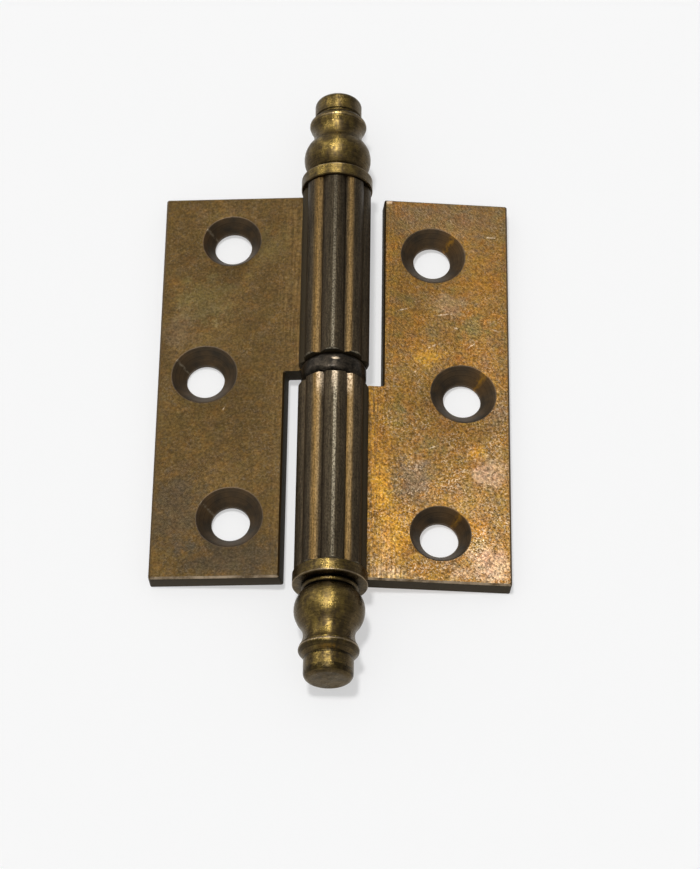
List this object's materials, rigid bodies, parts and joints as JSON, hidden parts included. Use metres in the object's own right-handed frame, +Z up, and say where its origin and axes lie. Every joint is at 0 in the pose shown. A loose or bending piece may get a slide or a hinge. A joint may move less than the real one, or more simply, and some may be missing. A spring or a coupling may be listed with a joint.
{
  "type": "lift-off hinge",
  "caption": "Tarnished brass lift-off hinge lying open: reeded barrel, urn finials, a dark washer between the knuckles and staggered countersunk holes in plain leaves.",
  "frame": {"origin": "on the surface that the open hinge lies on, under the middle of the barrel", "axes": "+X to the right across the leaves, +Y along the barrel towards the upper finial, +Z up out of the countersunk faces"},
  "size_m": [0.0482, 0.0908, 0.01],
  "materials": {
    "leaf_brass_dull": "drawn brass, dull brown tarnish",
    "leaf_brass_golden": "drawn brass, fine grained orange-gold tarnish",
    "finial_brass": "turned brass, olive tarnish, worn bright on the crests",
    "washer_brass_dark": "turned brass, nearly black tarnish",
    "pin_steel": "drawn steel, oiled"
  },
  "bodies": {
    "lower_half": {"lower_leaf": "leaf_brass_golden", "hinge_pin": "pin_steel", "lower_finial": "finial_brass"},
    "washer": {"thrust_washer": "washer_brass_dark"},
    "upper_half": {"upper_leaf": "leaf_brass_dull", "upper_finial": "finial_brass"}
  },
  "joints": [
    {"name": "leaf_swing", "type": "hinge", "parent": "lower_half", "child": "washer", "pos_m": [0, 0, 0.005], "axis": [0, 1, 0], "range_deg": [-114, 188.1]},
    {"name": "leaf_lift", "type": "slide", "parent": "washer", "child": "upper_half", "axis": [0, 1, 0], "range_m": [0, 0.024]}
  ]
}
